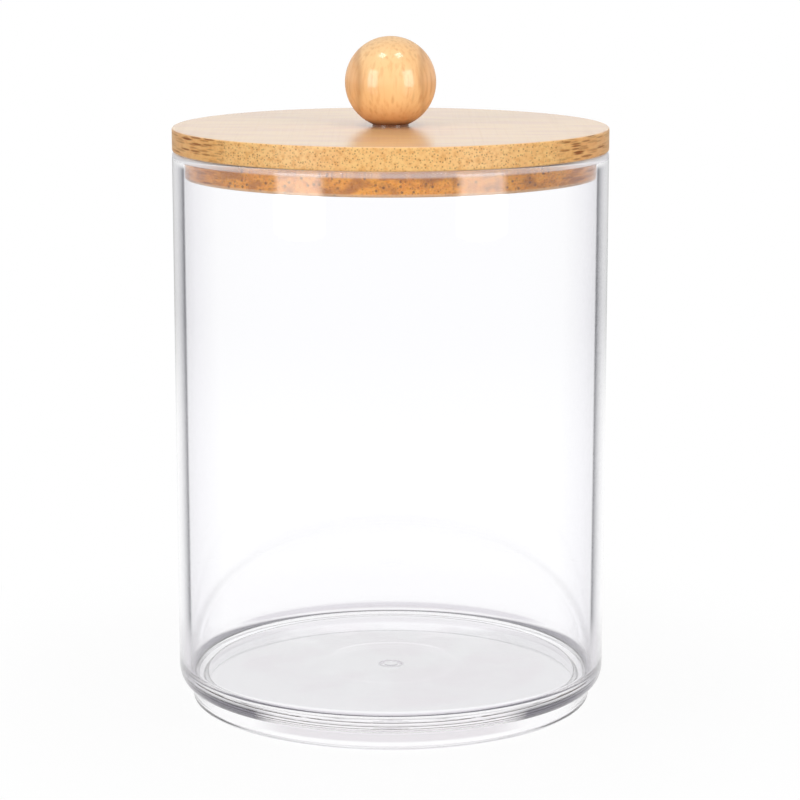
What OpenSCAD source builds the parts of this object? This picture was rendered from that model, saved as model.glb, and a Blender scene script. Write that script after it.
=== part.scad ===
// Cotton swab jar with a bamboo lid.
// Origin at the centre of the foot's bottom, +Z up, millimetres.

/* [Jar] */
// Outside diameter of the jar's wall
jar_d = 70; // [55:0.5:110]
// Height of the jar from the table to its rim
jar_h = 90.3; // [70:0.1:140]
// Thickness of the moulded wall
wall_t = 1.75; // [1.2:0.05:2.6]
// Thickness of the floor
floor_t = 2; // [1.2:0.1:4]
// Radius of the fillet between the floor and the wall, inside
floor_fillet = 1.6; // [0.4:0.1:4]
// Radius of the rounding on both edges of the rim
rim_round = 0.8; // [0.2:0.05:0.85]

/* [Stacking foot] */
// Height of the foot, up to the step in the jar's side
foot_h = 3.1; // [2:0.1:6]
// Width of the flat step above the foot
step_w = 0.6; // [0.3:0.1:3]
// Width of the rounded corner between the step and the jar's side
corner_w = 1.6; // [0.6:0.1:3]
// Height of the rounded corner between the step and the jar's side
corner_h = 2.7; // [0.6:0.1:6]
// Width of the foot ring that stands on the table
ring_w = 2.3; // [1.6:0.1:5]
// Height of the hollow under the floor, inside the foot ring
hollow_h = 3.2; // [1.6:0.1:5]
// Radius of the fillet between the floor and the foot ring, underneath
hollow_round = 0.3; // [0.1:0.05:1.5]
// Radius of the rounding on both edges of the foot ring
ring_round = 0.7; // [0.2:0.05:0.75]

/* [Gate mark] */
// Diameter of the dimple that the mould's gate leaves under the floor
gate_d = 3.8; // [3:0.1:8]
// Depth of that dimple
gate_depth = 0.5; // [0.2:0.05:1]
// Diameter of the stub in the dimple
stub_d = 2.2; // [1:0.1:2.6]
// Height of the stub in the dimple
stub_h = 0.3; // [0.1:0.05:0.5]

/* [Lid] */
// Thickness of the lid's disc
disc_t = 3.7; // [2.5:0.1:8]
// How far the disc's edge is set in from the jar's side
disc_inset = 0; // [0:0.1:1]
// Rounding on the edges of the disc
disc_round = 0.3; // [0.1:0.05:0.8]
// Depth of the plug below the disc
plug_h = 4; // [2.5:0.1:12]
// Clearance between the plug and the jar's wall, all round
plug_gap = 0.25; // [0.15:0.05:0.8]
// Rounding on the plug's bottom edge
plug_round = 0.5; // [0.1:0.05:1.2]

/* [Knob] */
// Diameter of the ball
ball_d = 14.6; // [12:0.1:24]
// Diameter of the flat seat that stands on the lid
seat_d = 5.8; // [5:0.1:10]
// Height of the straight seat below the ball
seat_h = 0.3; // [0.1:0.05:2]

/* [Screw] */
// Diameter of the screw's shank
screw_d = 3; // [2:0.1:3.6]
// Diameter of the screw's countersunk head
head_d = 5.8; // [4.4:0.1:7]
// Height of the straight rim of the head
head_rim_h = 0.25; // [0.1:0.05:0.6]
// How far the screw reaches into the knob
screw_bite = 8; // [5:0.1:10]
// Length of the screw's pointed tip
tip_l = 2.4; // [1:0.1:4]
// Clearance between the screw and its holes, all round
screw_gap = 0.05; // [0.02:0.01:0.15]
// Width of each slot of the cross recess
slot_w = 0.8; // [0.5:0.05:1]
// Length of each slot of the cross recess
slot_l = 3; // [2:0.1:3.6]
// Depth of the cross recess
slot_depth = 1; // [0.5:0.1:1.3]

/* [Hidden] */
$fn = 96;

jar_r = jar_d / 2;
bore_r = jar_r - wall_t;
floor_z = hollow_h + floor_t;

corner_r0 = jar_r - corner_w;
foot_r = corner_r0 - step_w;
hollow_r = foot_r - ring_w;

// The roundings stay inside the walls that they round.
rim_r = min(rim_round, wall_t / 2 - 0.05);
ring_r = min(ring_round, ring_w / 2 - 0.1, foot_h - 0.2, hollow_h / 2 - 0.1);
hollow_fillet = min(hollow_round, hollow_h - ring_r - 0.1);

gate_r = gate_d / 2;
gate_z = hollow_h + gate_depth;
stub_r = stub_d / 2;

disc_r = jar_r - disc_inset;
plug_r = bore_r - plug_gap;
plug_z = jar_h - plug_h;
lid_top = jar_h + disc_t;
disc_edge = min(disc_round, disc_t / 2 - 0.1);
plug_edge = min(plug_round, plug_h - 0.1);

ball_r = ball_d / 2;
seat_r = seat_d / 2;
ball_z = lid_top + seat_h + sqrt(ball_r * ball_r - seat_r * seat_r);

// The head is a 90 degree countersink, so its cone is as high as it is wide on one side.
shank_r = screw_d / 2;
head_r = head_d / 2;
head_z = plug_z + head_rim_h;
cone_h = head_r - shank_r;
screw_top = lid_top + screw_bite;
hole_r = shank_r + screw_gap;

// Steps in each rounded stretch of the jar, and of the lid's small eased edges.
round_steps = 8;
edge_steps = 4;
// A small overrun for cuts.
overrun = 1;

// Points on an elliptical arc, from angle a0 to angle a1.
function arc(centre, rx, ry, a0, a1, steps = round_steps) = [
    for (i = [0 : steps])
        let (a = a0 + (a1 - a0) * i / steps)
            [centre[0] + rx * cos(a), centre[1] + ry * sin(a)]
];

// A small edge rounding of one radius.
function eased(centre, r, a0, a1) = arc(centre, r, r, a0, a1, edge_steps);

// Underside of the jar: gate mark, hollow and foot ring, from the axis outwards.
function jar_underside() = concat(
    [[0, gate_z - stub_h], [stub_r, gate_z - stub_h], [stub_r, gate_z]],
    [[gate_r, gate_z], [gate_r, hollow_h]],
    arc([hollow_r - hollow_fillet, hollow_h - hollow_fillet], hollow_fillet, hollow_fillet, 90, 0),
    arc([hollow_r + ring_r, ring_r], ring_r, ring_r, 180, 270),
    arc([foot_r - ring_r, ring_r], ring_r, ring_r, 270, 360)
);

// Outside of the jar: step, rounded corner, side and rim, from the foot upwards.
function jar_outside() = concat(
    [[foot_r, foot_h]],
    arc([corner_r0, foot_h + corner_h], corner_w, corner_h, 270, 360),
    arc([jar_r - rim_r, jar_h - rim_r], rim_r, rim_r, 0, 90)
);

// Inside of the jar: rim, wall, fillet and floor, from the rim down to the axis.
function jar_inside() = concat(
    arc([bore_r + rim_r, jar_h - rim_r], rim_r, rim_r, 90, 180),
    arc([bore_r - floor_fillet, floor_z + floor_fillet], floor_fillet, floor_fillet, 360, 270),
    [[0, floor_z]]
);

// Clear jar, moulded in one piece with its floor and stacking foot.
module jar() {
    color("aliceblue", 0.4)
        rotate_extrude()
            polygon(concat(jar_underside(), jar_outside(), jar_inside()));
}

// Routed board: a disc that rests on the rim and a plug that centres it in the mouth.
module lid_board() {
    rotate_extrude()
        polygon(concat(
            [[0, plug_z]],
            eased([plug_r - plug_edge, plug_z + plug_edge], plug_edge, 270, 360),
            [[plug_r, jar_h]],
            eased([disc_r - disc_edge, jar_h + disc_edge], disc_edge, 270, 360),
            eased([disc_r - disc_edge, lid_top - disc_edge], disc_edge, 0, 90),
            [[0, lid_top]]
        ));
}

// Hole for the shank, and the countersink that takes the head flush with the plug.
module screw_hole() {
    translate([0, 0, plug_z - overrun])
        cylinder(r = hole_r, h = plug_h + disc_t + 2 * overrun);
    translate([0, 0, plug_z - overrun])
        cylinder(r = head_r + screw_gap, h = overrun + head_rim_h);
    translate([0, 0, head_z])
        cylinder(r1 = head_r + screw_gap, r2 = hole_r, h = cone_h);
}

module lid() {
    color("burlywood")
        difference() {
            lid_board();
            screw_hole();
        }
}

// Turned ball on a short flat seat, with a blind hole for the screw.
module knob() {
    color("sandybrown")
        difference() {
            union() {
                translate([0, 0, lid_top])
                    cylinder(r = seat_r, h = ball_z - lid_top);
                translate([0, 0, ball_z])
                    sphere(r = ball_r);
            }
            translate([0, 0, lid_top - ball_r])
                cylinder(r = ball_r, h = ball_r);
            translate([0, 0, lid_top - overrun])
                cylinder(r = hole_r, h = screw_bite + screw_gap + overrun);
        }
}

// Countersunk screw, driven up through the plug: head, shank and tip in one profile.
module screw_blank() {
    rotate_extrude()
        polygon([
            [0, plug_z],
            [head_r, plug_z],
            [head_r, head_z],
            [shank_r, head_z + cone_h],
            [shank_r, screw_top - tip_l],
            [0, screw_top]
        ]);
}

// Cross recess in the head.
module cross_recess() {
    for (turn = [0, 90])
        translate([0, 0, plug_z])
            rotate([0, 0, turn])
                cube([slot_l, slot_w, 2 * slot_depth], center = true);
}

module lid_screw() {
    color("silver")
        difference() {
            screw_blank();
            cross_recess();
        }
}

jar();
lid();
knob();
lid_screw();
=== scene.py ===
import math

import bmesh
import bpy
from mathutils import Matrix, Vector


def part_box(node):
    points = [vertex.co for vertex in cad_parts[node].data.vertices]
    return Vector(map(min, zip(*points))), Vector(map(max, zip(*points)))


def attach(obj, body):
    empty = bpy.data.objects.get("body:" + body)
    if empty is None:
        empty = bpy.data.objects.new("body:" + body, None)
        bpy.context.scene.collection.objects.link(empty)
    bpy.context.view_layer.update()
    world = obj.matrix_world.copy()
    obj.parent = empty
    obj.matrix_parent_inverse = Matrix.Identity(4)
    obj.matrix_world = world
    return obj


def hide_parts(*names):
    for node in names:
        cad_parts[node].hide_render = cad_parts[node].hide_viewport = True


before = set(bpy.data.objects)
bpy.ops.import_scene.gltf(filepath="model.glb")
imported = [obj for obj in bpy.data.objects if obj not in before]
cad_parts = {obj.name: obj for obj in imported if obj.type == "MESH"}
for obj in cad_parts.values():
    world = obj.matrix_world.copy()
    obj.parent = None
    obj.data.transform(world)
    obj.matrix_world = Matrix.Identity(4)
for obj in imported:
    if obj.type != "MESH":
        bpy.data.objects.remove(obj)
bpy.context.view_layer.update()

# Camera
# A long lens a little above the lid, turned down to the jar at the photograph's viewing angle.
# Its distance and height are in jar radii, so that they follow the jar.
MM = 0.001
jar_low, jar_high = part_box("jar")
jar_r = (jar_high[0] - jar_low[0]) / 2
image_pixels = 800
focal_pixels = 2768.9
sensor_width_mm = 36.0
camera_distance = 12.693 * jar_r
camera_height = 3.842 * jar_r
camera_pitch = math.radians(10.862)
camera_yaw = math.radians(0.1945)

camera_data = bpy.data.cameras.new("camera")
camera_data.sensor_width = sensor_width_mm
camera_data.lens = focal_pixels / image_pixels * sensor_width_mm
camera = bpy.data.objects.new("camera", camera_data)
camera.location = (0.0, -camera_distance, camera_height)
camera.rotation_euler = (math.pi / 2 - camera_pitch, 0.0, -camera_yaw)
bpy.context.collection.objects.link(camera)
bpy.context.scene.camera = camera


# Jar
# One injection moulding in clear styrene plastic, with its floor, stacking foot and rounded rim.
# It is a body of revolution, so it is turned from the mould's own section. The gate leaves a
# dimple with a stub under the middle of the floor.
class Field:
    """A value that flows through a node tree. Arithmetic on it adds Math nodes."""

    def __init__(self, tree, socket):
        self.tree = tree
        self.socket = socket

    def math(self, operation, *values):
        return self.tree.node("ShaderNodeMath", {"operation": operation}, values)

    def __add__(self, other):
        return self.math("ADD", self, other)

    def __sub__(self, other):
        return self.math("SUBTRACT", self, other)

    def __rsub__(self, other):
        return self.math("SUBTRACT", other, self)

    def __mul__(self, other):
        return self.math("MULTIPLY", self, other)

    def __truediv__(self, other):
        return self.math("DIVIDE", self, other)

    def __pow__(self, other):
        return self.math("POWER", self, other)

    def __mod__(self, other):
        return self.math("FLOORED_MODULO", self, other)

    def __lt__(self, other):
        return self.math("LESS_THAN", self, other)

    def __gt__(self, other):
        return self.math("GREATER_THAN", self, other)

    def __abs__(self):
        return self.math("ABSOLUTE", self)

    def floor(self):
        return self.math("FLOOR", self)

    __radd__ = __add__
    __rmul__ = __mul__


class Tree:
    """A shader or geometry node tree, with one method that adds any node."""

    def __init__(self, tree):
        self.tree = tree

    def node(self, kind, settings=None, sockets=(), out=0):
        """Adds a node: its settings first, then the values or links of its sockets. Returns an output."""
        node = self.tree.nodes.new(kind)
        for name, value in (settings or {}).items():
            if name == "stops":
                ramp = node.color_ramp
                while len(ramp.elements) < len(value):
                    ramp.elements.new(0.5)
                for element, (place, colour) in zip(ramp.elements, value):
                    element.position = place
                    element.color = colour
            else:
                setattr(node, name, value)
        pairs = sockets.items() if isinstance(sockets, dict) else enumerate(sockets)
        for name, value in pairs:
            if isinstance(value, Field):
                self.tree.links.new(value.socket, node.inputs[name])
            else:
                node.inputs[name].default_value = value
        return Field(self, node.outputs[out]) if node.outputs else node

    def output(self, field, name):
        """Another output of the node that a field comes from."""
        return Field(self, field.socket.node.outputs[name])

    def step(self, value, low, high, to_low=0.0, to_high=1.0):
        """A smooth step from to_low to to_high as value goes from low to high."""
        return self.node(
            "ShaderNodeMapRange",
            {"interpolation_type": "SMOOTHSTEP"},
            (value, low, high, to_low, to_high),
        )

    def fall(self, value, low, high):
        """A smooth fall from 1 to 0 as value goes from low to high."""
        return self.step(value, low, high, 1.0, 0.0)

    def stretched(self, vector, scale):
        """A place multiplied axis by axis, so that a pattern on it is drawn out or squeezed."""
        return self.node("ShaderNodeVectorMath", {"operation": "MULTIPLY"}, (vector, scale))

    def noise(self, vector, scale, detail):
        """Soft random patches, so many to the metre."""
        return self.node("ShaderNodeTexNoise", {}, {"Vector": vector, "Scale": scale, "Detail": detail})

    def colour(self, share, first, second, blend="MIX"):
        """The colour share of the way from first to second."""
        settings = {"data_type": "RGBA", "blend_type": blend}
        return self.node("ShaderNodeMix", settings, {0: share, 6: first, 7: second}, out=2)


def turning_tree():
    """Geometry nodes that turn a profile about Z. Its points lie at (radius, 0, height)."""
    group = bpy.data.node_groups.new("turning", "GeometryNodeTree")
    for name, kind in (("Profile", "Geometry"), ("Steps around", "Int"), ("Weld", "Float"), ("Finish", "Material")):
        group.interface.new_socket(name, in_out="INPUT", socket_type="NodeSocket" + kind)
    group.interface.new_socket("Piece", in_out="OUTPUT", socket_type="NodeSocketGeometry")
    tree = Tree(group)
    profile = tree.node("NodeGroupInput")
    steps = tree.output(profile, 1)
    weld = tree.output(profile, 2)
    finish = tree.output(profile, 3)

    count = tree.node("GeometryNodeAttributeDomainSize", {"component": "MESH"}, (profile,))
    grid_sockets = {"Vertices X": steps + 1, "Vertices Y": count}
    grid = tree.node("GeometryNodeMeshGrid", {}, grid_sockets)
    index = tree.node("GeometryNodeInputIndex")
    turn = ((index + 0.5) / count).floor()
    settings = {"data_type": "FLOAT_VECTOR", "domain": "POINT"}
    sockets = {"Geometry": profile, "Value": tree.node("GeometryNodeInputPosition"), "Index": index % count}
    point = tree.node("ShaderNodeSeparateXYZ", {}, (tree.node("GeometryNodeSampleIndex", settings, sockets),))
    angle = turn * (2 * math.pi) / steps
    place = tree.node(
        "ShaderNodeCombineXYZ",
        {},
        (point * angle.math("COSINE", angle), point * angle.math("SINE", angle), tree.output(point, "Z")),
    )
    turned = tree.node("GeometryNodeSetPosition", {}, {"Geometry": grid, "Position": place})
    turned = tree.node("GeometryNodeMergeByDistance", {}, {"Geometry": turned, "Distance": weld})
    turned = tree.node("GeometryNodeSetShadeSmooth", {}, (turned,))
    turned = tree.node("GeometryNodeRealizeInstances", {}, (turned,))
    turned = tree.node("GeometryNodeSetMaterial", {}, {"Geometry": turned, "Material": finish})
    tree.node("NodeGroupOutput", {}, (turned,))
    return group


TURNING = turning_tree()
STEPS_AROUND = 256
SHARP_ANGLE = math.radians(32)


def turned_piece(name, profile_mm, finish, steps=STEPS_AROUND):
    """A piece turned about Z from a profile of (radius, height) points in millimetres."""
    line = bpy.data.meshes.new(name)
    points = [(r * MM, 0.0, z * MM) for r, z in profile_mm]
    line.from_pydata(points, [(i, i + 1) for i in range(len(points) - 1)], [])
    piece = bpy.data.objects.new(name, line)
    bpy.context.collection.objects.link(piece)
    lathe = piece.modifiers.new("turning", "NODES")
    lathe.node_group = TURNING
    values = {"Steps around": steps, "Weld": 1e-7, "Finish": finish}
    for item in TURNING.interface.items_tree:
        if item.name in values:
            lathe[item.identifier] = values[item.name]
    evaluated = piece.evaluated_get(bpy.context.evaluated_depsgraph_get())
    mesh = bpy.data.meshes.new_from_object(evaluated)
    piece.modifiers.clear()
    piece.data = mesh
    shell = bmesh.new()
    shell.from_mesh(mesh)
    bmesh.ops.recalc_face_normals(shell, faces=shell.faces)
    shell.to_mesh(mesh)
    shell.free()
    mesh.set_sharp_from_angle(angle=SHARP_ANGLE)
    return piece


def arc(centre, radii, start, end, steps=12):
    """Points on an elliptical arc between two angles in degrees."""
    angles = [math.radians(start + (end - start) * i / steps) for i in range(steps + 1)]
    return [(centre[0] + radii[0] * math.cos(a), centre[1] + radii[1] * math.sin(a)) for a in angles]


def supported(points, reach=0.25, longest=6.0):
    """Adds a point close to both ends of each long stretch, so that smooth shading stays flat there."""
    result = [points[0]]
    for start, end in zip(points, points[1:]):
        span = math.dist(start, end)
        if span > 4 * reach:
            pieces = max(1, math.ceil(span / longest))
            shares = [reach / span] + [i / pieces for i in range(1, pieces)] + [1 - reach / span]
            for share in shares:
                result.append(tuple(a + (b - a) * share for a, b in zip(start, end)))
        result.append(end)
    return result


def paint(red, green, blue):
    """A colour given as it looks on screen, from 0 to 255, as Blender's linear colour."""
    return tuple(((c / 255 + 0.055) / 1.055) ** 2.4 for c in (red, green, blue)) + (1.0,)


jar_h_mm = jar_high[2] / MM
jar_r_mm = jar_r / MM
wall_mm = 1.75
floor_mm = 2.0
floor_fillet_mm = 1.6
rim_round_mm = 0.8
foot_h_mm = 3.1
step_w_mm = 0.6
corner_w_mm = 1.6
corner_h_mm = 2.7
ring_w_mm = 2.3
ring_round_mm = 0.7
hollow_h_mm = 3.2
hollow_fillet_mm = 0.3
gate_r_mm = 1.9
gate_depth_mm = 0.5
stub_r_mm = 1.1
stub_h_mm = 0.3

bore_r_mm = jar_r_mm - wall_mm
floor_z_mm = hollow_h_mm + floor_mm
corner_r_mm = jar_r_mm - corner_w_mm
foot_r_mm = corner_r_mm - step_w_mm
hollow_r_mm = foot_r_mm - ring_w_mm
gate_z_mm = hollow_h_mm + gate_depth_mm
ring_rounds = (ring_round_mm, ring_round_mm)
rim_rounds = (rim_round_mm, rim_round_mm)
floor_rounds = (floor_fillet_mm, floor_fillet_mm)
hollow_rounds = (hollow_fillet_mm, hollow_fillet_mm)

jar_underside = (
    [(0, gate_z_mm - stub_h_mm), (stub_r_mm, gate_z_mm - stub_h_mm), (stub_r_mm, gate_z_mm)]
    + [(gate_r_mm, gate_z_mm), (gate_r_mm, hollow_h_mm)]
    + arc((hollow_r_mm - hollow_fillet_mm, hollow_h_mm - hollow_fillet_mm), hollow_rounds, 90, 0)
    + arc((hollow_r_mm + ring_round_mm, ring_round_mm), ring_rounds, 180, 270)
    + arc((foot_r_mm - ring_round_mm, ring_round_mm), ring_rounds, 270, 360)
)
jar_outside = (
    [(foot_r_mm, foot_h_mm)]
    + arc((corner_r_mm, foot_h_mm + corner_h_mm), (corner_w_mm, corner_h_mm), 270, 360, 20)
    + arc((jar_r_mm - rim_round_mm, jar_h_mm - rim_round_mm), rim_rounds, 0, 90)
)
jar_inside = (
    arc((bore_r_mm + rim_round_mm, jar_h_mm - rim_round_mm), rim_rounds, 90, 180)
    + arc((bore_r_mm - floor_fillet_mm, floor_z_mm + floor_fillet_mm), floor_rounds, 360, 270)
    + [(0, floor_z_mm)]
)


def clear_plastic():
    """Clear, polished styrene. The thick wall turns light aside near its edge; that darkness is painted
    shade in the base colour, as are the greys at the foot, corner, fillet and dimple.
    """
    material = bpy.data.materials.new("clear_plastic")
    material.use_nodes = True
    tree = Tree(material.node_tree)
    shader = material.node_tree.nodes["Principled BSDF"]
    place = tree.node("ShaderNodeTexCoord", out="Object")
    x = tree.node("ShaderNodeSeparateXYZ", {}, (place,))
    y = tree.output(x, "Y")
    z = tree.output(x, "Z")
    radius = (x * x + y * y) ** 0.5
    corner_top_mm = foot_h_mm + corner_h_mm
    # The outside of the jar, up to just below its rim.
    below_rim = tree.fall(z, (jar_h_mm - 2.0) * MM, (jar_h_mm - 1.1) * MM)
    outside = (radius > (bore_r_mm + 0.05) * MM) * below_rim
    # Painted shade: the darkest line lies where a glance just misses the bore, and it fades both ways.
    # The viewing angle paints it into the base colour, for the light the thick wall turns aside.
    painted_edge_shade_stops = (
        (0.40, paint(254, 254, 255)),
        (0.56, paint(236, 235, 240)),
        (0.668, paint(214, 213, 219)),
        (0.688, paint(50, 50, 56)),
        (0.702, paint(62, 62, 68)),
        (0.735, paint(140, 140, 146)),
        (0.80, paint(214, 213, 218)),
        (0.90, paint(250, 250, 252)),
    )
    facing = tree.node("ShaderNodeLayerWeight", {}, (0.5,), out="Facing")
    painted_edge_shade = tree.node("ShaderNodeValToRGB", {"stops": painted_edge_shade_stops}, (facing,))
    wall = tree.step(z, (corner_top_mm - 0.6) * MM, corner_top_mm * MM)
    painted_shade_and_tint = tree.colour(outside * wall, paint(254, 254, 255), painted_edge_shade)
    # Close to the floor the painted line spreads into a grey band of painted shade.
    painted_base_shade_stops = (
        (0.50, paint(250, 249, 251)),
        (0.66, paint(184, 181, 188)),
        (0.88, paint(178, 175, 182)),
        (0.97, paint(226, 224, 229)),
    )
    painted_base_shade = tree.node("ShaderNodeValToRGB", {"stops": painted_base_shade_stops}, (facing,))
    near_floor = tree.fall(z, 10.0 * MM, 17.0 * MM)
    painted_shade_and_tint = tree.colour(outside * wall * near_floor * 0.9, painted_shade_and_tint, painted_base_shade)
    # Painted shade: the solid corner and the foot ring are painted darkest where the jar's curve turns them to the
    # side.
    sideways = tree.stretched(place, (1.0, 1.0, 0.0))
    sideways = tree.node("ShaderNodeVectorMath", {"operation": "NORMALIZE"}, (sideways,))
    turned = tree.node("ShaderNodeLayerWeight", {}, {"Blend": 0.5, "Normal": sideways}, out="Facing")
    painted_corner_shade_stops = (
        (0.20, paint(250, 248, 251)),
        (0.28, paint(70, 67, 78)),
        (0.50, paint(56, 53, 64)),
        (0.66, paint(92, 89, 100)),
        (0.90, paint(150, 147, 156)),
    )
    painted_corner_shade = tree.node("ShaderNodeValToRGB", {"stops": painted_corner_shade_stops}, (turned,))
    above_foot = outside * (z > foot_h_mm * MM)
    corner = above_foot * tree.fall(z, (foot_h_mm + 1.7) * MM, (corner_top_mm + 0.3) * MM)
    painted_shade_and_tint = tree.colour(corner, painted_shade_and_tint, painted_corner_shade)
    # Painted shade: the lowest strip of the corner, just above the foot, is painted near black where it turns to
    # the side.
    lowest = above_foot * tree.fall(z, (foot_h_mm + 0.2) * MM, (foot_h_mm + 1.0) * MM)
    painted_shade_and_tint = tree.colour(lowest * tree.step(turned, 0.22, 0.30), painted_shade_and_tint, paint(40, 38, 46))
    # Painted shade: the foot ring is greyed a little all round, and much more in a band where it faces the view.
    foot = (radius > (foot_r_mm - 0.8) * MM) * (z < foot_h_mm * MM)
    foot_front = tree.fall(turned, 0.16, 0.34)
    foot_band = tree.step(z, 1.3 * MM, 1.7 * MM) * tree.fall(z, 2.7 * MM, 3.0 * MM)
    painted_shade_and_tint = tree.colour(foot * (0.12 + foot_front * foot_band * 0.88), painted_shade_and_tint, paint(208, 202, 208))
    # The fillet round the floor takes light aside too, which is painted here as grey shade where it is seen edge
    # on.
    fillet = tree.step(z, (floor_z_mm + 0.2) * MM, (floor_z_mm + 0.6) * MM)
    fillet = fillet * tree.fall(z, (floor_z_mm + 1.0) * MM, (floor_z_mm + 1.55) * MM)
    fillet = fillet * (radius < (bore_r_mm + 0.05) * MM) * tree.fall(facing, 0.22, 0.36)
    painted_shade_and_tint = tree.colour(fillet, painted_shade_and_tint, paint(202, 198, 206))
    # So does the edge of the dimple, painted as a grey ring of shade.
    dimple = tree.fall(abs(radius - gate_r_mm * MM), 0.1 * MM, 0.45 * MM) * (z < floor_z_mm * MM)
    painted_shade_and_tint = tree.colour(dimple, painted_shade_and_tint, paint(206, 203, 208))
    # The floor is a little milky in soft patches, where the melt ran out from the gate.
    patches = tree.noise(place, 120.0, 3.0)
    low = tree.fall(z, (floor_z_mm + 0.2) * MM, (floor_z_mm + 0.6) * MM)
    inner = tree.fall(radius, (hollow_r_mm - 7.0) * MM, (hollow_r_mm - 4.0) * MM)
    painted_shade_and_tint = tree.colour(tree.step(patches, 0.40, 0.66) * low * inner * 0.35, painted_shade_and_tint, paint(243, 235, 240))
    # Flow marks from moulding: long soft waves in the surface, and a breath of haze. An insert
    # of the mould leaves a faint ring round the gate. The foot and corner are worn a little dull.
    flow = tree.node("ShaderNodeMapping", {}, {"Vector": place, "Scale": (1.0, 1.0, 0.2)})
    waves = tree.noise(flow, 70.0, 2.0)
    haze = tree.noise(place, 900.0, 3.0)
    insert = tree.fall(abs(radius - 11.0 * MM), 0.0, 0.5 * MM) * low
    bump = tree.node("ShaderNodeBump", {}, {"Strength": 0.04, "Distance": 0.0002, "Height": waves + 0.25 * insert})
    material.node_tree.links.new(painted_shade_and_tint.socket, shader.inputs["Base Color"])
    worn = tree.fall(z, foot_h_mm * MM, corner_top_mm * MM) * (radius > (hollow_r_mm - 0.1) * MM)
    material.node_tree.links.new((0.004 + 0.012 * haze + 0.09 * worn).socket, shader.inputs["Roughness"])
    material.node_tree.links.new(bump.socket, shader.inputs["Normal"])
    shader.inputs["IOR"].default_value = 1.57
    shader.inputs["Transmission Weight"].default_value = 1.0
    # The rim was trimmed after moulding, which leaves it slightly frosted. Frost shows most edge on.
    frosted = tree.node("ShaderNodeBsdfDiffuse", {}, {"Color": paint(246, 245, 248)})
    edge_on = tree.step(turned, 0.20, 0.62) * (radius > (bore_r_mm + 0.6) * MM)
    rim = tree.step(z, (jar_h_mm - 1.15) * MM, (jar_h_mm - 0.85) * MM) * (0.20 + 0.55 * edge_on)
    surface = tree.node("ShaderNodeMixShader", {}, (rim, Field(tree, shader.outputs[0]), frosted))
    material.node_tree.links.new(surface.socket, material.node_tree.nodes["Material Output"].inputs["Surface"])
    return material


jar = turned_piece("jar_moulding", supported(jar_underside + jar_outside + jar_inside), clear_plastic())
# Clear plastic lets the light through, so it throws no dark shadow.
jar.visible_shadow = False
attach(jar, "jar")
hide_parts("jar")

# Lid
# One board of pressed bamboo, routed to a disc that rests on the rim and a plug that centres it.
# Its fibres run front to back: they show as dots where they are cut across, and as streaks along
# the board. The edges are eased, and the top has a satin lacquer.
lid_low, lid_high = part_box("lid")
lid_top_mm = lid_high[2] / MM
plug_z_mm = lid_low[2] / MM
plug_gap_mm = 0.25
plug_r_mm = bore_r_mm - plug_gap_mm
disc_ease_mm = 0.3
plug_ease_mm = 0.5
screw_hole_r_mm = 1.55
head_hole_r_mm = 2.95
head_rim_mm = 0.25

lid_profile = (
    [(screw_hole_r_mm, plug_z_mm + head_rim_mm + head_hole_r_mm - screw_hole_r_mm)]
    + [(head_hole_r_mm, plug_z_mm + head_rim_mm), (head_hole_r_mm, plug_z_mm)]
    + arc((plug_r_mm - plug_ease_mm, plug_z_mm + plug_ease_mm), (plug_ease_mm, plug_ease_mm), 270, 360, 8)
    + [(plug_r_mm, jar_h_mm)]
    + arc((jar_r_mm - disc_ease_mm, jar_h_mm + disc_ease_mm), (disc_ease_mm, disc_ease_mm), 270, 360, 8)
    + arc((jar_r_mm - disc_ease_mm, lid_top_mm - disc_ease_mm), (disc_ease_mm, disc_ease_mm), 0, 90, 8)
    + [(screw_hole_r_mm, lid_top_mm)]
)
lid_profile.append(lid_profile[0])


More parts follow.
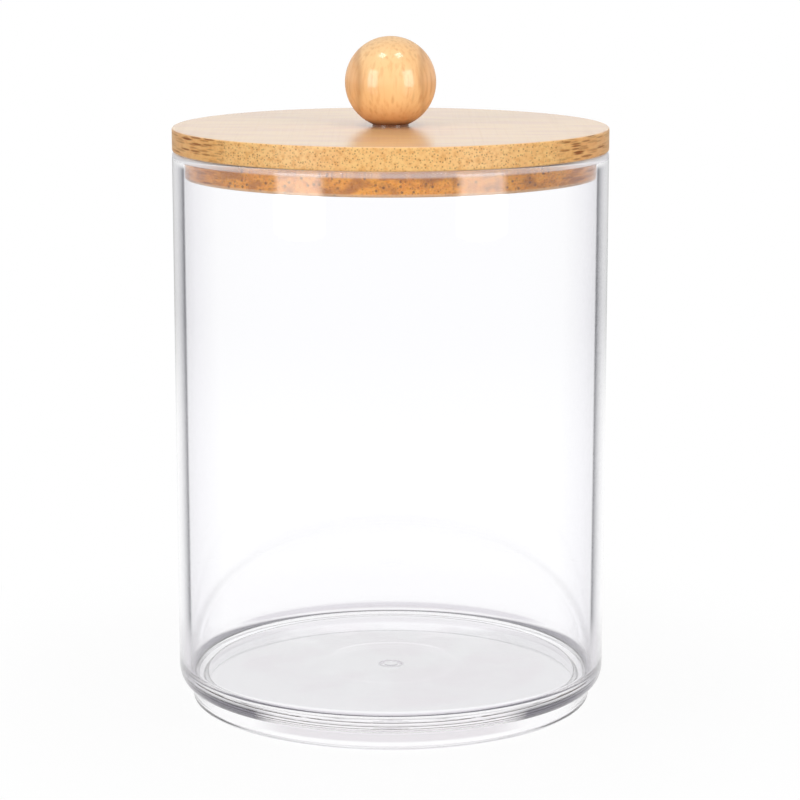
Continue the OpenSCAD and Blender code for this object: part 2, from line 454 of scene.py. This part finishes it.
def bamboo_board():
    """Bamboo with its fibres along Y: strips, vascular bundles, soft blotches and satin lacquer."""
    material = bpy.data.materials.new("bamboo_board")
    material.use_nodes = True
    tree = Tree(material.node_tree)
    shader = material.node_tree.nodes["Principled BSDF"]
    place = tree.node("ShaderNodeTexCoord", out="Object")
    x = tree.node("ShaderNodeSeparateXYZ", {}, (place,))
    z = tree.output(x, "Z")
    normal = tree.node("ShaderNodeTexCoord", out="Normal")
    normal_z = tree.output(tree.node("ShaderNodeSeparateXYZ", {}, (normal,)), "Z")
    flat = abs(normal_z) > 0.7
    end_grain = 1 - flat

    # Cut fibre bundles. Towards the sides the bundles are flattened, so they show as short streaks,
    # which run out at the very end.
    bundle = 0.00037
    dots_at = tree.stretched(place, (1 / bundle, 25.0, 1 / bundle))
    dots = tree.node("ShaderNodeTexVoronoi", {}, {"Vector": dots_at, "Scale": 1.0, "Randomness": 0.95})
    dot_tone = tree.node("ShaderNodeSeparateXYZ", {}, (tree.output(dots, "Color"),))
    streaks_at = tree.stretched(place, (480.0, 20.0, 2500.0))
    streaks = tree.node("ShaderNodeTexVoronoi", {}, {"Vector": streaks_at, "Scale": 1.0, "Randomness": 0.9})
    streak_tone = tree.node("ShaderNodeSeparateXYZ", {}, (tree.output(streaks, "Color"),))
    side = tree.step(abs(x), 0.68 * jar_r, 0.80 * jar_r)
    dot_mask = tree.fall(dots, 0.14, 0.50) * (0.20 + 0.80 * dot_tone)
    streak_mask = tree.fall(streaks, 0.30, 0.60) * (0.30 + 0.70 * streak_tone)
    streak_mask = streak_mask * tree.step(abs(x), 0.93 * jar_r, 0.99 * jar_r, 1.25, 0.4)
    marks = (dot_mask * (1 - side) * 0.9 + streak_mask * side) * (1 - 0.93 * flat)

    # Strips pressed side by side, each a little lighter or darker, and soft blotches.
    strip = 0.0062
    strip_tone = tree.node("ShaderNodeTexWhiteNoise", {"noise_dimensions": "1D"}, {"W": (x / strip).floor()})
    blotch = tree.noise(place, 85.0, 3.0)
    fine_at = tree.stretched(place, (2600.0, 60.0, 2600.0))
    fine = tree.noise(fine_at, 1.0, 3.0)
    fleck_at = tree.stretched(place, (1500.0, 40.0, 1500.0))
    fleck = tree.noise(fleck_at, 1.0, 1.0)
    scorch_at = tree.stretched(place, (260.0, 260.0, 420.0))
    scorch = tree.noise(scorch_at, 1.0, 3.0)

    wood = tree.colour(0.25 * strip_tone, paint(248, 198, 130), paint(238, 182, 110))
    wood = tree.colour(tree.step(blotch, 0.42, 0.68) * 0.45, wood, paint(242, 182, 124))
    wood = tree.colour(tree.step(fine, 0.45, 0.75) * (0.03 + 0.27 * end_grain), wood, paint(216, 150, 84))
    wood = tree.colour(tree.step(fleck, 0.50, 0.68) * end_grain * 0.60, wood, paint(252, 208, 138))
    wood = tree.colour(tree.fall(fleck, 0.30, 0.48) * end_grain * 0.50, wood, paint(224, 156, 82))
    # Across the fibres the sander dulls the flat faces in soft bands.
    band_at = tree.stretched(place, (75.0, 260.0, 75.0))
    band = tree.noise(band_at, 1.0, 3.0)
    # Painted light: the flat faces, top and underside, are mixed towards a paler colour, standing in for the glare
    # on the lid's top.
    wood = tree.colour(flat * 0.45, wood, paint(255, 224, 176))
    wood = tree.colour(tree.step(band, 0.40, 0.66) * flat * 0.45, wood, paint(232, 178, 150))
    wood = tree.colour(side * end_grain * 0.35, wood, paint(214, 144, 70))
    wood = tree.colour(marks * 0.76, wood, paint(130, 68, 22))
    # The plug is made browner and darker than the sanded disc: partly its own darker tone, partly painted
    # shade standing in for the shade under the disc and behind the jar wall. The cutter scorches it in places.
    routed = tree.fall(z, (jar_h_mm - 0.3) * MM, (jar_h_mm + 0.05) * MM)
    wood = tree.colour(routed, wood, paint(232, 196, 104), "MULTIPLY")
    wood = tree.colour(routed * tree.step(scorch, 0.44, 0.62) * 0.65, wood, paint(140, 72, 20))
    pores_at = tree.stretched(place, (1100.0, 25.0, 1100.0))
    pores = tree.node("ShaderNodeTexVoronoi", {}, {"Vector": pores_at, "Scale": 1.0, "Randomness": 0.95})
    pore_tone = tree.node("ShaderNodeSeparateXYZ", {}, (tree.output(pores, "Color"),))
    pore_mask = tree.fall(pores, 0.10, 0.34) * tree.step(pore_tone, 0.2, 0.7)
    wood = tree.colour(routed * (1 - side) * pore_mask * 0.8, wood, paint(84, 40, 12))
    # Painted reflection: its lower edge is mixed pale, standing in for the light its rounded edge reflects from
    # below.
    painted_lower_edge_light = tree.fall(z, (plug_z_mm + 0.35) * MM, (plug_z_mm + 0.6) * MM)
    wood = tree.colour(painted_lower_edge_light * (0.25 + 0.45 * fine), wood, paint(226, 196, 164))
    height = fine * 0.5 - marks
    bump = tree.node("ShaderNodeBump", {}, {"Strength": 0.25, "Distance": 0.00005, "Height": height})
    material.node_tree.links.new(wood.socket, shader.inputs["Base Color"])
    material.node_tree.links.new((0.26 + 0.10 * fine + 0.2 * marks).socket, shader.inputs["Roughness"])
    material.node_tree.links.new((0.66 * (normal_z > 0.7)).socket, shader.inputs["Coat Weight"])
    material.node_tree.links.new(bump.socket, shader.inputs["Normal"])
    shader.inputs["IOR"].default_value = 1.40
    shader.inputs["Specular IOR Level"].default_value = 0.35
    shader.inputs["Coat Roughness"].default_value = 0.20
    return material


lid = turned_piece("lid_board", supported(lid_profile), bamboo_board())
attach(lid, "lid")
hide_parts("lid")

# Knob
# A ball turned from a bamboo blank, on a short flat seat, drilled for the screw. Its fibres
# stand upright, and two glue lines of the blank show as darker bands. Semi-gloss lacquer.
ball_r_mm = 7.3
seat_r_mm = 2.9
seat_h_mm = 0.3
screw_bite_mm = 8.05
ball_z_mm = lid_top_mm + seat_h_mm + math.sqrt(ball_r_mm**2 - seat_r_mm**2)
seat_angle = math.degrees(math.asin((lid_top_mm + seat_h_mm - ball_z_mm) / ball_r_mm))

knob_profile = (
    [(0, lid_top_mm + screw_bite_mm), (screw_hole_r_mm, lid_top_mm + screw_bite_mm)]
    + [(screw_hole_r_mm, lid_top_mm), (seat_r_mm, lid_top_mm)]
    + arc((0, ball_z_mm), (ball_r_mm, ball_r_mm), seat_angle, 90, 64)
)


def bamboo_ball():
    """Turned bamboo with upright fibres, two glue lines and a semi-gloss lacquer."""
    material = bpy.data.materials.new("bamboo_ball")
    material.use_nodes = True
    tree = Tree(material.node_tree)
    shader = material.node_tree.nodes["Principled BSDF"]
    place = tree.node("ShaderNodeTexCoord", out="Object")
    x = tree.node("ShaderNodeSeparateXYZ", {}, (place,))
    z = tree.output(x, "Z")
    glue_line = 0.70 * ball_r_mm * MM
    wander = tree.noise(place, 160.0, 2.0)
    fibre_at = tree.stretched(place, (1900.0, 1900.0, 130.0))
    fibre = tree.noise(fibre_at, 1.0, 4.0)
    bundle_at = tree.stretched(place, (1100.0, 1100.0, 90.0))
    bundle = tree.node("ShaderNodeTexVoronoi", {}, {"Vector": bundle_at, "Scale": 1.0})
    seam = abs(abs(x) + 0.0012 * (wander - 0.5) - glue_line)
    seam = tree.fall(seam, 0.0, 0.0008)
    outer = tree.step(abs(x), glue_line, 0.78 * ball_r_mm * MM)

    wood = tree.colour(tree.step(wander, 0.35, 0.7) * 0.5, paint(252, 206, 146), paint(244, 188, 124))
    wood = tree.colour(outer * 0.35, wood, paint(226, 160, 104))
    wood = tree.colour(tree.step(fibre, 0.45, 0.72) * 0.36, wood, paint(222, 152, 88))
    wood = tree.colour(tree.fall(bundle, 0.15, 0.40) * 0.20, wood, paint(176, 112, 58))
    wood = tree.colour(seam * 0.40, wood, paint(168, 104, 56))
    # Darker towards the seat and darkest in the crease at it: partly a brown stain where the ball was held in
    # the lathe, partly painted shade under the ball.
    neck = tree.fall(z, (lid_top_mm + 0.6) * MM, (ball_z_mm - 2.5) * MM)
    wood = tree.colour(neck * 0.55, wood, paint(186, 124, 76))
    seat = tree.fall(z, (lid_top_mm + 0.2) * MM, (lid_top_mm + 1.5) * MM)
    wood = tree.colour(seat * 0.9, wood, paint(104, 56, 28))
    bump = tree.node("ShaderNodeBump", {}, {"Strength": 0.12, "Distance": 0.00004, "Height": fibre})
    material.node_tree.links.new(wood.socket, shader.inputs["Base Color"])
    material.node_tree.links.new((0.34 + 0.14 * fibre).socket, shader.inputs["Roughness"])
    material.node_tree.links.new(bump.socket, shader.inputs["Normal"])
    # The lacquer is thinnest where the buffing wheel ran off the ball, so its edge shines less.
    facing = tree.node("ShaderNodeLayerWeight", {}, (0.5,), out="Facing")
    lacquer = tree.step(facing, 0.35, 0.85, 0.8, 0.15)
    material.node_tree.links.new(lacquer.socket, shader.inputs["Coat Weight"])
    shader.inputs["IOR"].default_value = 1.42
    shader.inputs["Specular IOR Level"].default_value = 0.3
    shader.inputs["Coat Roughness"].default_value = 0.10
    return material


knob = turned_piece("knob_ball", supported(knob_profile), bamboo_ball(), steps=160)
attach(knob, "lid")
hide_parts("knob")

# Screw
# A countersunk zinc-plated wood screw, driven up through the plug into the knob. Its thread is
# rolled, and its head has a cross recess. Only the head shows, from below.
screw_top_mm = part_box("lid_screw")[1][2] / MM
head_r_mm = 2.9
shank_r_mm = 1.5
tip_mm = 2.4
thread_pitch_mm = 1.1
thread_depth_mm = 0.32
recess_width_mm = 0.8
recess_length_mm = 3.0
recess_depth_mm = 1.0
rows_per_turn = 12

cone_top_mm = plug_z_mm + head_rim_mm + head_r_mm - shank_r_mm
thread_rows = round((screw_top_mm - cone_top_mm) / thread_pitch_mm * rows_per_turn)


def shank_point(row):
    """A point on the plain shank or its tip, for one row of the thread."""
    z = cone_top_mm + (screw_top_mm - cone_top_mm) * row / thread_rows
    return (shank_r_mm * min(1.0, (screw_top_mm - z) / tip_mm), z)


screw_profile = [(0, plug_z_mm), (head_r_mm, plug_z_mm), (head_r_mm, plug_z_mm + head_rim_mm)]
screw_profile += [shank_point(row) for row in range(thread_rows + 1)]


def zinc_steel():
    """Bright zinc-plated steel with a faint brushed tone."""
    material = bpy.data.materials.new("screw_steel")
    material.use_nodes = True
    tree = Tree(material.node_tree)
    shader = material.node_tree.nodes["Principled BSDF"]
    place = tree.node("ShaderNodeTexCoord", out="Object")
    grain = tree.noise(place, 2200.0, 3.0)
    steel = tree.colour(grain, paint(176, 178, 184), paint(206, 207, 210))
    material.node_tree.links.new(steel.socket, shader.inputs["Base Color"])
    material.node_tree.links.new((0.22 + 0.16 * grain).socket, shader.inputs["Roughness"])
    shader.inputs["Metallic"].default_value = 1.0
    return material


def cut_thread(piece):
    """Sinks the thread's groove into the shank, deepest half way between crests."""
    for vertex in piece.data.vertices:
        x, y, z = vertex.co / MM
        reach = math.hypot(x, y)
        if z < cone_top_mm + 0.2 or reach < 1e-6:
            continue
        turn = (z - cone_top_mm) / thread_pitch_mm - math.atan2(y, x) / (2 * math.pi)
        groove = 1 - abs(2 * (turn % 1.0) - 1)
        depth = min(thread_depth_mm * groove, 0.6 * reach)
        vertex.co.x *= (reach - depth) / reach
        vertex.co.y *= (reach - depth) / reach


def cut_recess(piece):
    """Cuts the cross recess into the head with a tapered cross."""
    cutter = bmesh.new()
    for turn in (0.0, math.pi / 2):
        slot = bmesh.ops.create_cube(cutter, size=1.0)["verts"]
        for vertex in slot:
            deep = vertex.co.z > 0
            x = vertex.co.x * recess_length_mm * (0.45 if deep else 1.0)
            y = vertex.co.y * recess_width_mm * (0.7 if deep else 1.0)
            z = recess_depth_mm if deep else -0.5
            vertex.co.x = (x * math.cos(turn) - y * math.sin(turn)) * MM
            vertex.co.y = (x * math.sin(turn) + y * math.cos(turn)) * MM
            vertex.co.z = (plug_z_mm + z) * MM
    mesh = bpy.data.meshes.new("recess_cutter")
    cutter.to_mesh(mesh)
    cutter.free()
    tool = bpy.data.objects.new("recess_cutter", mesh)
    bpy.context.collection.objects.link(tool)
    cut = piece.modifiers.new("recess", "BOOLEAN")
    cut.operation = "DIFFERENCE"
    cut.solver = "EXACT"
    cut.use_self = True
    cut.object = tool
    evaluated = piece.evaluated_get(bpy.context.evaluated_depsgraph_get())
    piece.data = bpy.data.meshes.new_from_object(evaluated)
    piece.modifiers.clear()
    bpy.data.objects.remove(tool)


screw = turned_piece("screw", screw_profile, zinc_steel(), steps=48)
cut_thread(screw)
cut_recess(screw)
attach(screw, "lid")
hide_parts("lid_screw")

# Floor
# A plain pale floor. Near the jar it keeps the jar's shadow, and further out it goes over into
# the white of the background. What the pieces mirror of it is dimmer far out, as in a studio.
floor_half = 2.5
shadow_near = 0.032
shadow_far = 0.100
dim_near = 0.20
dim_far = 0.45

floor_mesh = bpy.data.meshes.new("floor")
signs = ((-1, -1), (1, -1), (1, 1), (-1, 1))
corners = [(x * floor_half, y * floor_half, 0.0) for x, y in signs]
floor_mesh.from_pydata(corners, [], [(0, 1, 2, 3)])
floor = bpy.data.objects.new("floor", floor_mesh)
bpy.context.collection.objects.link(floor)
floor_material = bpy.data.materials.new("floor")
floor_material.use_nodes = True
floor_tree = Tree(floor_material.node_tree)
floor_nodes = floor_material.node_tree.nodes
floor_nodes.remove(floor_nodes["Principled BSDF"])
floor_xy = floor_tree.node("ShaderNodeSeparateXYZ", {}, (floor_tree.node("ShaderNodeTexCoord", out="Object"),))
floor_y = floor_tree.output(floor_xy, "Y")
reach = (floor_xy * floor_xy + floor_y * floor_y) ** 0.5
camera_ray = floor_tree.node("ShaderNodeLightPath", out="Is Camera Ray")
mirror_ray = floor_tree.output(camera_ray, "Is Glossy Ray")
through_ray = floor_tree.output(camera_ray, "Is Transmission Ray")
direct = floor_tree.output(camera_ray, "Diffuse Depth") < 0.5
seen = camera_ray.math("MAXIMUM", camera_ray, mirror_ray)
seen = seen.math("MAXIMUM", seen, through_ray) * direct
share = floor_tree.step(reach, shadow_near, shadow_far, 0.92, 1.0) * seen
board = floor_tree.colour(seen, (0.35, 0.35, 0.35, 1.0), (0.95, 0.95, 0.95, 1.0))
matt = floor_tree.node("ShaderNodeBsdfDiffuse", {}, {"Color": board})
far_mirrored = floor_tree.step(reach, dim_near, dim_far) * mirror_ray
brightness = 1 + 0.03 * through_ray - 0.55 * far_mirrored * (1 - through_ray)
white = floor_tree.node("ShaderNodeEmission", {}, {"Color": brightness, "Strength": 1.0})
floor_shader = floor_tree.node("ShaderNodeMixShader", {}, (share, matt, white))
floor_tree.tree.links.new(floor_shader.socket, floor_nodes["Material Output"].inputs["Surface"])
floor_mesh.materials.append(floor_material)

# Light
# Two tall soft boxes stand in front at the sides and two smaller ones hang above. Each fades out
# to its side edges. The world is white where it shows, gives the fill light, and has a narrow
# grey band above the backdrop, which the clear plastic shows.
fill_level = 0.25
band_level = 0.50
band_low = 0.269
band_high = 0.33
lamp_distance = 0.60
aim_height = 0.08


def soft_box(name, azimuth, elevation, width, height, radiance):
    """A rectangular lamp at an azimuth from the front and an elevation, aimed at the jar."""
    data = bpy.data.lights.new(name, "AREA")
    data.shape = "RECTANGLE"
    data.size = width
    data.size_y = height
    data.energy = radiance * math.pi * width * height
    data.use_nodes = True
    tree = Tree(data.node_tree)
    place = tree.node("ShaderNodeNewGeometry", out="Parametric")
    across = tree.node("ShaderNodeSeparateXYZ", {}, (place,))
    strength = tree.step(abs(across - 0.5), 0.30, 0.5, 1.25, 0.0)
    data.node_tree.links.new(strength.socket, data.node_tree.nodes["Emission"].inputs["Strength"])
    lamp = bpy.data.objects.new(name, data)
    a = math.radians(azimuth)
    e = math.radians(elevation)
    lamp.location = (
        lamp_distance * math.sin(a) * math.cos(e),
        -lamp_distance * math.cos(a) * math.cos(e),
        aim_height + lamp_distance * math.sin(e),
    )
    lamp.rotation_euler = (math.pi / 2 - e, 0.0, a)
    lamp.visible_transmission = False
    bpy.context.collection.objects.link(lamp)


for side_name, sign in (("left", -1), ("right", 1)):
    tall = {"azimuth": sign * 47, "elevation": 12, "width": 0.34, "height": 0.43, "radiance": 4.3}
    soft_box("tall_box_" + side_name, **tall)
    top = {"azimuth": sign * 54, "elevation": 70, "width": 0.18, "height": 0.12, "radiance": 7.5}
    soft_box("top_box_" + side_name, **top)

world = bpy.data.worlds.new("world")
world.use_nodes = True
bpy.context.scene.world = world
sky = Tree(world.node_tree)
direction = sky.node("ShaderNodeTexCoord", out="Generated")
up = sky.output(sky.node("ShaderNodeSeparateXYZ", {}, (direction,)), "Z")
camera_ray = sky.node("ShaderNodeLightPath", out="Is Camera Ray")
through_ray = sky.output(camera_ray, "Is Transmission Ray")
mirrored = camera_ray.math("MAXIMUM", sky.output(camera_ray, "Is Glossy Ray"), through_ray)
mirrored = mirrored * (sky.output(camera_ray, "Diffuse Depth") < 0.5)
grey_band = sky.step(up, band_low - 0.001, band_low + 0.001) * sky.fall(up, band_high - 0.02, band_high + 0.02)
reflected = 1 - (1 - band_level) * grey_band + 0.03 * through_ray
level = camera_ray + (1 - camera_ray) * (mirrored * reflected + (1 - mirrored) * fill_level)
world.node_tree.links.new(level.socket, world.node_tree.nodes["Background"].inputs["Color"])

# Light is piped a long way inside the jar's foot, so it may turn there many times.
scene = bpy.context.scene
scene.cycles.max_bounces = 32
scene.cycles.glossy_bounces = 24
scene.cycles.transmission_bounces = 24
scene.view_settings.view_transform = "Standard"
